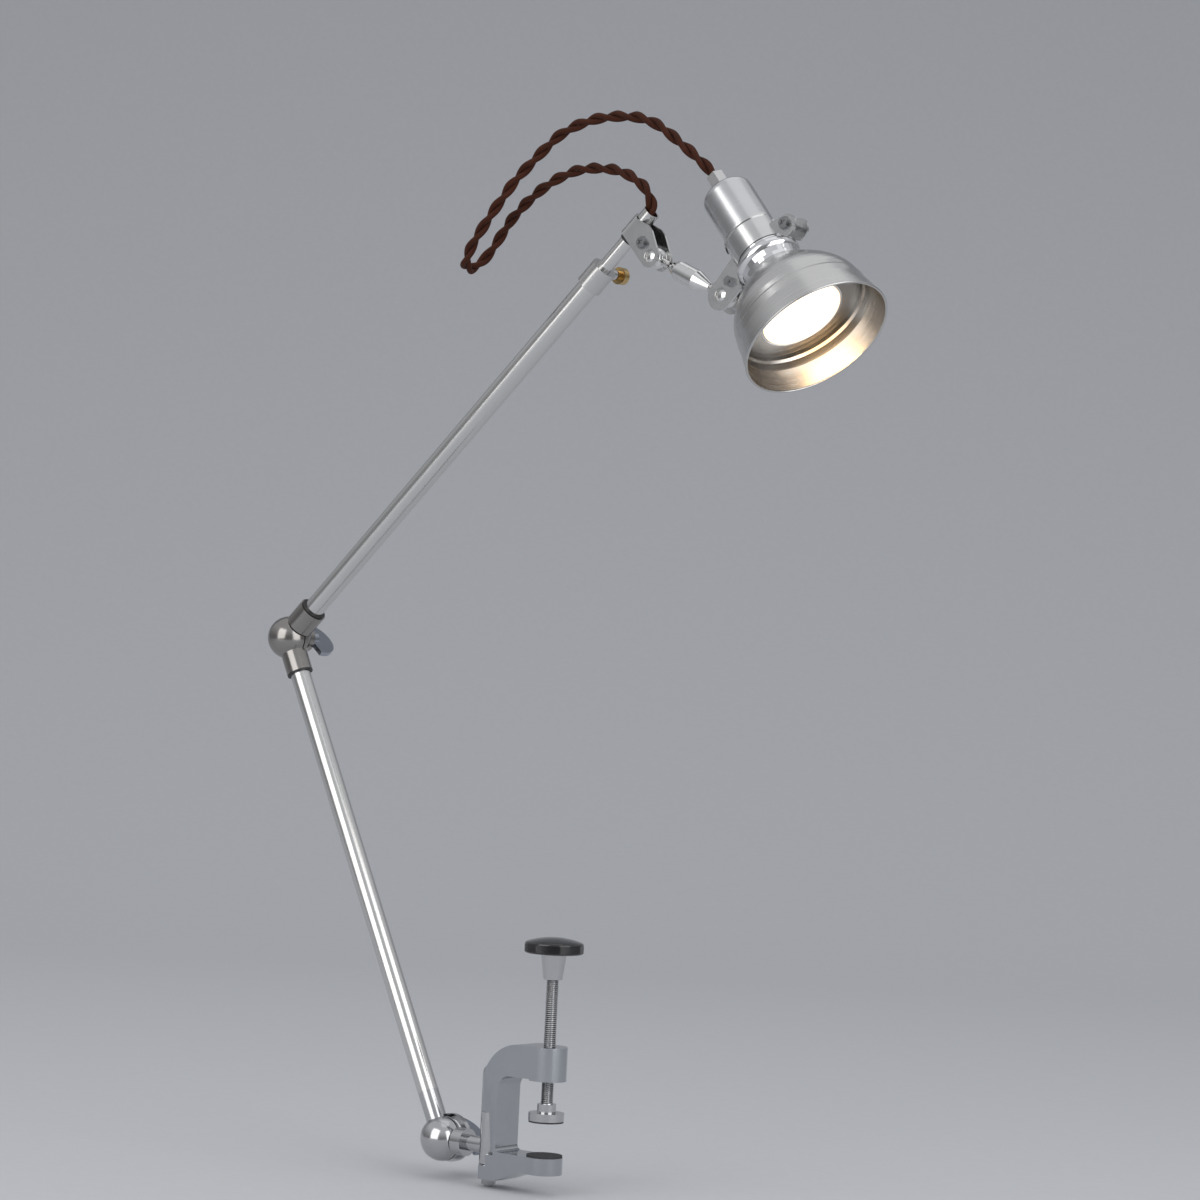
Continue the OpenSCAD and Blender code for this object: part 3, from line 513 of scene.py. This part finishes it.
def smooth_route(points, per_span=12):
    """A Catmull-Rom curve through the points, with its index at each given point."""
    p = [Vector(q) / 1000 for q in points]
    p = [2 * p[0] - p[1]] + p + [2 * p[-1] - p[-2]]
    route = []
    for i in range(1, len(p) - 2):
        for k in range(per_span):
            t = k / per_span
            a, b, c, d = p[i - 1:i + 3]
            square = (2 * a - 5 * b + 4 * c - d) * t ** 2
            cube = (3 * b - a - 3 * c + d) * t ** 3
            route.append(0.5 * (2 * b + (c - a) * t + square + cube))
    route.append(p[-2])
    return route


def cord_material():
    """Dark braided cloth: a fine weave across each strand, darker on its low threads and lighter on its
    raised threads and in soft patches.
    """
    t = Tree("cord_cloth")
    uv = t.add("UVMap")
    wave_a = t.add("TexWave", wave_type="BANDS", bands_direction="DIAGONAL")
    wave_a.inputs["Scale"].default_value = 1.0
    wave_a.inputs["Distortion"].default_value = 1.2
    wave_a.inputs["Detail"].default_value = 2.0
    stretch = t.add("Mapping")
    stretch.inputs["Scale"].default_value = (14.0, 900.0, 1.0)
    t.wire(uv.outputs[0], stretch.inputs["Vector"])
    t.wire(stretch.outputs[0], wave_a.inputs["Vector"])
    fuzz = t.noise(t.local(), 1600.0, 4.0)
    patch = t.noise(t.local(), 70.0, 3.0)
    height = t.math("ADD", t.math("MULTIPLY", wave_a.outputs["Fac"], 0.7), t.math("MULTIPLY", fuzz, 0.5))
    tone = t.math("ADD", t.math("MULTIPLY", height, 0.7), t.math("MULTIPLY", patch, 0.35))
    t.set("Base Color", t.ramp(
        tone, (0.25, (0.012, 0.003, 0.001)), (0.60, (0.050, 0.011, 0.004)), (0.90, (0.110, 0.033, 0.014))
    ))
    t.set("Roughness", t.spread(fuzz, 0.62, 0.85))
    t.set("Sheen Weight", 0.04)
    t.set("Specular IOR Level", 0.2)
    t.set("Sheen Roughness", 0.4)
    t.set("Normal", t.bump(height, 0.55, 0.00025))
    return t.material


def twisted_cord():
    """Both strands of the cord, wound round its middle line, in three stretches."""
    per_span = 12
    route = smooth_route(CORD_MM, per_span)
    material = cord_material()
    count = len(route)
    tangents = [(route[min(i + 1, count - 1)] - route[max(i - 1, 0)]).normalized() for i in range(count)]
    normals = []
    normal = Vector((0, 1, 0))
    for t in tangents:
        normal = (normal - normal.dot(t) * t).normalized()
        normals.append(normal)
    lengths = [0.0]
    for i in range(1, count):
        lengths.append(lengths[-1] + (route[i] - route[i - 1]).length)
    strand = CORD_D / 4
    sides = 14
    names = ("twisted_cord_arm", "twisted_cord_loop", "twisted_cord_head")
    nodes = ("cord_arm_stretch", "cord_loop_stretch", "cord_head_stretch")
    for s, (name, node) in enumerate(zip(names, nodes)):
        first = CUTS[s] * per_span
        last = CUTS[s + 1] * per_span
        points = []
        faces = []
        uvs = []
        for side in (0, 1):
            base = len(points)
            middles = []
            for i in range(first, last + 1):
                a = math.tau * lengths[i] / CORD_PITCH + math.pi * side
                across = tangents[i].cross(normals[i])
                middles.append(route[i] + strand * (math.cos(a) * normals[i] + math.sin(a) * across))
            for i, middle in enumerate(middles):
                ahead = middles[min(i + 1, len(middles) - 1)] - middles[max(i - 1, 0)]
                ahead.normalize()
                n = normals[first + i]
                n = (n - n.dot(ahead) * ahead).normalized()
                b = ahead.cross(n)
                for k in range(sides):
                    a = math.tau * k / sides
                    points.append(middle + strand * (math.cos(a) * n + math.sin(a) * b))
            rows = len(middles)
            for i in range(rows - 1):
                for k in range(sides):
                    m = (k + 1) % sides
                    lo = base + i * sides
                    hi = lo + sides
                    faces.append((lo + k, lo + m, hi + m, hi + k))
                    u0, u1 = k / sides, (k + 1) / sides
                    v0, v1 = lengths[first + i], lengths[first + i + 1]
                    uvs.append(((u0, v0), (u1, v0), (u1, v1), (u0, v1)))
            faces.append(tuple(base + k for k in reversed(range(sides))))
            uvs.append(tuple((k / sides, lengths[first]) for k in range(sides)))
            faces.append(tuple(base + (rows - 1) * sides + k for k in range(sides)))
            uvs.append(tuple((k / sides, lengths[last]) for k in range(sides)))
        mesh = bpy.data.meshes.new(name)
        mesh.from_pydata([tuple(p) for p in points], [], faces)
        layer = mesh.uv_layers.new(name="UVMap")
        for face, corners in zip(mesh.polygons, uvs):
            for loop, uv in zip(face.loop_indices, corners):
                layer.data[loop].uv = uv
        mesh.materials.append(material)
        mesh.shade_smooth()
        piece = bpy.data.objects.new(name, mesh)
        bpy.context.scene.collection.objects.link(piece)
        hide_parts(node)
        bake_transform(piece)


clamp_screw()
clamp_knob()
twisted_cord()

# ---- floor and light ----


def backdrop():
    """A pale floor that sweeps up behind the lamp."""
    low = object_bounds()[0][2] - 0.0004
    away = -Vector((BACK.x, BACK.y, 0)).normalized()
    side = Vector((-away.y, away.x, 0))
    sweep = 3.0
    start = 1.9
    line = [(-1.5, 0.0), (start, 0.0)]
    for degrees in range(5, 91, 5):
        a = math.radians(degrees)
        line.append((start + sweep * math.sin(a), sweep - sweep * math.cos(a)))
    line.append((start + sweep, 6.0))
    points = []
    for reach, height in line:
        for s in (-5.0, 5.0):
            p = away * reach + side * s
            points.append((p.x, p.y, low + height))
    faces = [(2 * i, 2 * i + 1, 2 * i + 3, 2 * i + 2) for i in range(len(line) - 1)]
    t = Tree("backdrop_paper")
    fine = t.noise(t.local(), 90.0, 4.0)
    t.set("Base Color", t.ramp(fine, (0.3, (0.605, 0.613, 0.636)), (0.7, (0.620, 0.628, 0.652))))
    t.set("Roughness", t.spread(fine, 0.86, 0.94))
    t.set("Specular IOR Level", 0.1)
    piece_from("backdrop", points, faces, t.material, sharp=80.0)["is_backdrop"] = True


def area_light(name, place, aim, size, power, color=(1.0, 1.0, 1.0)):
    data = bpy.data.lights.new(name, "AREA")
    data.shape = "RECTANGLE"
    data.size, data.size_y = size
    data.energy = power
    data.color = color
    light = bpy.data.objects.new(name, data)
    light.location = place
    light.rotation_euler = (Vector(aim) - Vector(place)).to_track_quat("-Z", "Y").to_euler()
    bpy.context.scene.collection.objects.link(light)


backdrop()
MIDDLE = (0.0, 0.0, 0.40)
area_light("left_bank", (-0.3, -2.45, 1.2), MIDDLE, (2.0, 2.4), 26.0, (1.0, 0.995, 0.985))
area_light("right_bank", (2.4, -0.3, 1.0), MIDDLE, (2.0, 2.4), 26.0, (0.98, 0.99, 1.0))
area_light("top", (0.2, 0.2, 2.8), MIDDLE, (2.4, 1.6), 3.0)

world = bpy.data.worlds.new("studio")
world.use_nodes = True
bpy.context.scene.world = world
sky = world.node_tree
paint = sky.nodes["Background"]
where = sky.nodes.new("ShaderNodeTexCoord")
split = sky.nodes.new("ShaderNodeSeparateXYZ")
ramp = sky.nodes.new("ShaderNodeValToRGB")
sky.links.new(where.outputs["Generated"], split.inputs[0])
sky.links.new(split.outputs["Z"], ramp.inputs["Fac"])
sky.links.new(ramp.outputs["Color"], paint.inputs["Color"])
points = ramp.color_ramp.elements
points[0].position = 0.12
points[0].color = (0.21, 0.213, 0.220, 1.0)
points[1].position = 0.60
points[1].color = (0.56, 0.57, 0.59, 1.0)
paint.inputs["Strength"].default_value = 1.05

glow_data = bpy.data.lights.new("bulb_glow", "POINT")
glow_data.energy = 0.07
glow_data.color = (1.0, 0.62, 0.28)
glow_data.shadow_soft_size = 0.02
glow = bpy.data.objects.new("bulb_glow", glow_data)
glow.location = HEAD_FOOT + HEAD * 0.075
bpy.context.scene.collection.objects.link(glow)

bpy.context.scene.view_settings.view_transform = "Standard"
